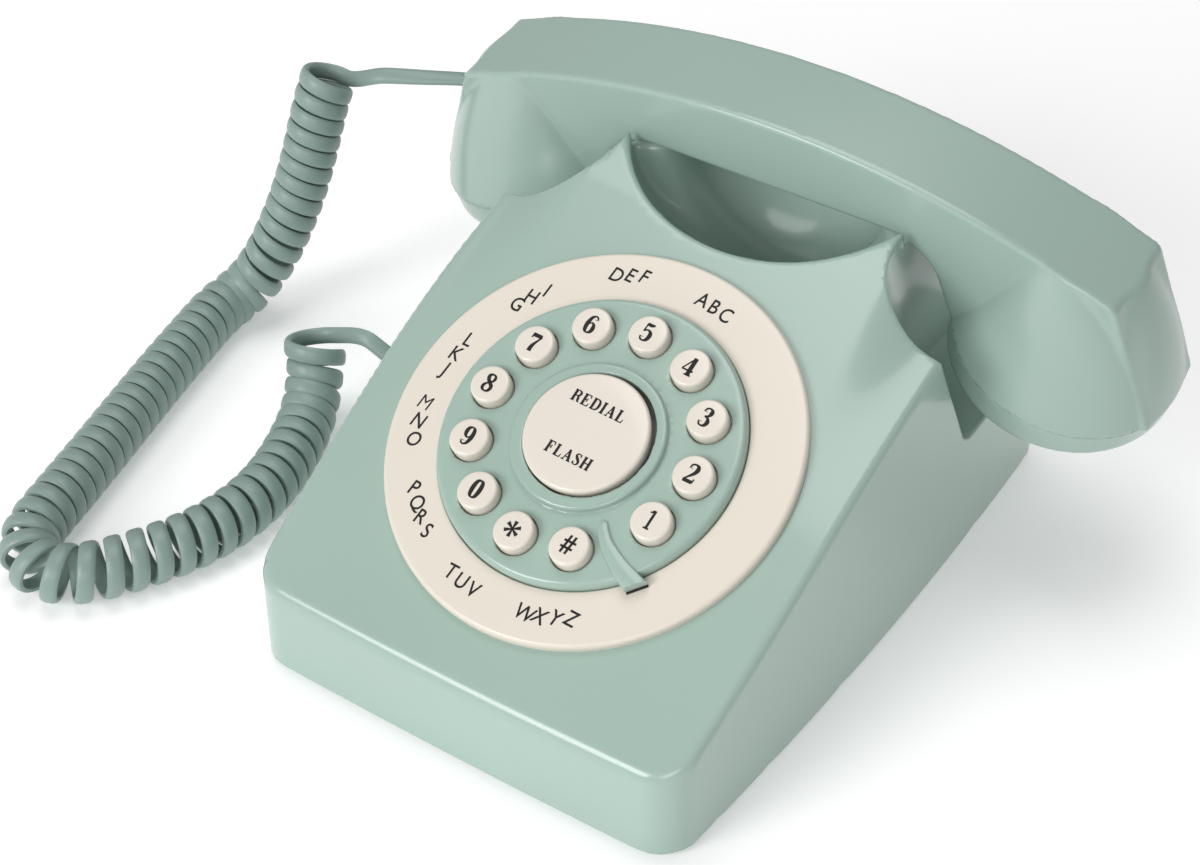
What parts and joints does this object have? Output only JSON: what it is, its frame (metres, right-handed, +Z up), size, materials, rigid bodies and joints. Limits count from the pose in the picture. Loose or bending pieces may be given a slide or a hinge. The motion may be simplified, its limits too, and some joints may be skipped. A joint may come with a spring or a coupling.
{
  "type": "push-button desk telephone",
  "caption": "Corded desk telephone: sloping body, round keypad with a letter ring, handset across a horned cradle, curly cord.",
  "frame": {"origin": "bottom centre of the telephone without its cord, on the surface that the feet stand on", "axes": "+Z up, -Y out of the front of the body, X along the handset with the cord end at -X"},
  "size_m": [0.2962, 0.2264, 0.1233],
  "materials": {
    "body_green": "glossy moulded",
    "base_green": "fine matt texture",
    "cream_plastic": "glossy moulded",
    "key_cream": "satin gloss",
    "foot_rubber": "matt",
    "steel_screw": "zinc plated",
    "silicone": "matt",
    "board_green": "solder mask",
    "black_plastic": "satin",
    "spring_steel": "bright wire",
    "ballast_steel": "plain",
    "capsule_grey": "satin",
    "plug_plastic": "moulded",
    "cord_green": "smooth jacket"
  },
  "bodies": {
    "base": {"housing": "body_green", "base_plate": "base_green", "feet": "foot_rubber", "base_screws": "steel_screw", "dial_ring": "cream_plastic", "key_bezel": "body_green", "keypad_mat": "silicone", "keypad_board": "board_green", "keypad_screws": "steel_screw", "hook_spring": "spring_steel", "hook_switch": "black_plastic", "main_board": "board_green", "board_screws": "steel_screw", "ballast": "ballast_steel", "ringer": "capsule_grey", "ringer_switch": "black_plastic", "line_jack": "black_plastic", "cord_jack": "black_plastic", "body_plug": "plug_plastic", "cord_tail_handset": "cord_green", "cord_coil": "cord_green", "cord_tail_body": "cord_green"},
    "key_1": {"key_1": "key_cream"},
    "key_2": {"key_2": "key_cream"},
    "key_3": {"key_3": "key_cream"},
    "key_4": {"key_4": "key_cream"},
    "key_5": {"key_5": "key_cream"},
    "key_6": {"key_6": "key_cream"},
    "key_7": {"key_7": "key_cream"},
    "key_8": {"key_8": "key_cream"},
    "key_9": {"key_9": "key_cream"},
    "key_0": {"key_0": "key_cream"},
    "key_star": {"key_star": "key_cream"},
    "key_hash": {"key_hash": "key_cream"},
    "rocker": {"redial_flash_rocker": "key_cream"},
    "hook": {"hook_bar": "black_plastic"},
    "ringer_knob": {"ringer_knob": "black_plastic"},
    "handset": {"handset_shell": "body_green", "grip_cover": "body_green", "grip_screws": "steel_screw", "ear_cap": "body_green", "mouth_cap": "body_green", "receiver": "capsule_grey", "microphone": "capsule_grey", "handset_weight": "ballast_steel", "handset_jack": "black_plastic", "handset_plug": "plug_plastic"}
  },
  "joints": [
    {"name": "key_1_press", "type": "slide", "parent": "base", "child": "key_1", "axis": [0, 0.454, -0.891], "range_m": [0, 0.0012], "stiffness_N_per_m": 300, "springref_m": -0.0015},
    {"name": "key_2_press", "type": "slide", "parent": "base", "child": "key_2", "axis": [0, 0.454, -0.891], "range_m": [0, 0.0012], "stiffness_N_per_m": 300, "springref_m": -0.0015},
    {"name": "key_3_press", "type": "slide", "parent": "base", "child": "key_3", "axis": [0, 0.454, -0.891], "range_m": [0, 0.0012], "stiffness_N_per_m": 300, "springref_m": -0.0015},
    {"name": "key_4_press", "type": "slide", "parent": "base", "child": "key_4", "axis": [0, 0.454, -0.891], "range_m": [0, 0.0012], "stiffness_N_per_m": 300, "springref_m": -0.0015},
    {"name": "key_5_press", "type": "slide", "parent": "base", "child": "key_5", "axis": [0, 0.454, -0.891], "range_m": [0, 0.0012], "stiffness_N_per_m": 300, "springref_m": -0.0015},
    {"name": "key_6_press", "type": "slide", "parent": "base", "child": "key_6", "axis": [0, 0.454, -0.891], "range_m": [0, 0.0012], "stiffness_N_per_m": 300, "springref_m": -0.0015},
    {"name": "key_7_press", "type": "slide", "parent": "base", "child": "key_7", "axis": [0, 0.454, -0.891], "range_m": [0, 0.0012], "stiffness_N_per_m": 300, "springref_m": -0.0015},
    {"name": "key_8_press", "type": "slide", "parent": "base", "child": "key_8", "axis": [0, 0.454, -0.891], "range_m": [0, 0.0012], "stiffness_N_per_m": 300, "springref_m": -0.0015},
    {"name": "key_9_press", "type": "slide", "parent": "base", "child": "key_9", "axis": [0, 0.454, -0.891], "range_m": [0, 0.0012], "stiffness_N_per_m": 300, "springref_m": -0.0015},
    {"name": "key_0_press", "type": "slide", "parent": "base", "child": "key_0", "axis": [0, 0.454, -0.891], "range_m": [0, 0.0012], "stiffness_N_per_m": 300, "springref_m": -0.0015},
    {"name": "key_star_press", "type": "slide", "parent": "base", "child": "key_star", "axis": [0, 0.454, -0.891], "range_m": [0, 0.0012], "stiffness_N_per_m": 300, "springref_m": -0.0015},
    {"name": "key_hash_press", "type": "slide", "parent": "base", "child": "key_hash", "axis": [0, 0.454, -0.891], "range_m": [0, 0.0012], "stiffness_N_per_m": 300, "springref_m": -0.0015},
    {"name": "rocker_tilt", "type": "hinge", "parent": "base", "child": "rocker", "pos_m": [0, -0.03826, 0.06414], "axis": [1, 0, 0], "range_deg": [-3, 3], "stiffness_Nm_per_rad": 0.12},
    {"name": "handset_lift", "type": "slide", "parent": "base", "child": "handset", "axis": [0, 0, 1], "range_m": [0, 0.08], "deforming": ["cord_tail_handset", "cord_coil", "cord_tail_body"]},
    {"name": "hook_rise", "type": "slide", "parent": "base", "child": "hook", "axis": [0, 0, 1], "range_m": [0, 0.004], "deforming": ["hook_spring"]},
    {"name": "ringer_slide", "type": "slide", "parent": "base", "child": "ringer_knob", "axis": [1, 0, 0], "range_m": [-0.003, 0.003]}
  ],
  "couplings": [
    {"joint": "hook_rise", "follows": "handset_lift", "ratio": 0.05}
  ]
}
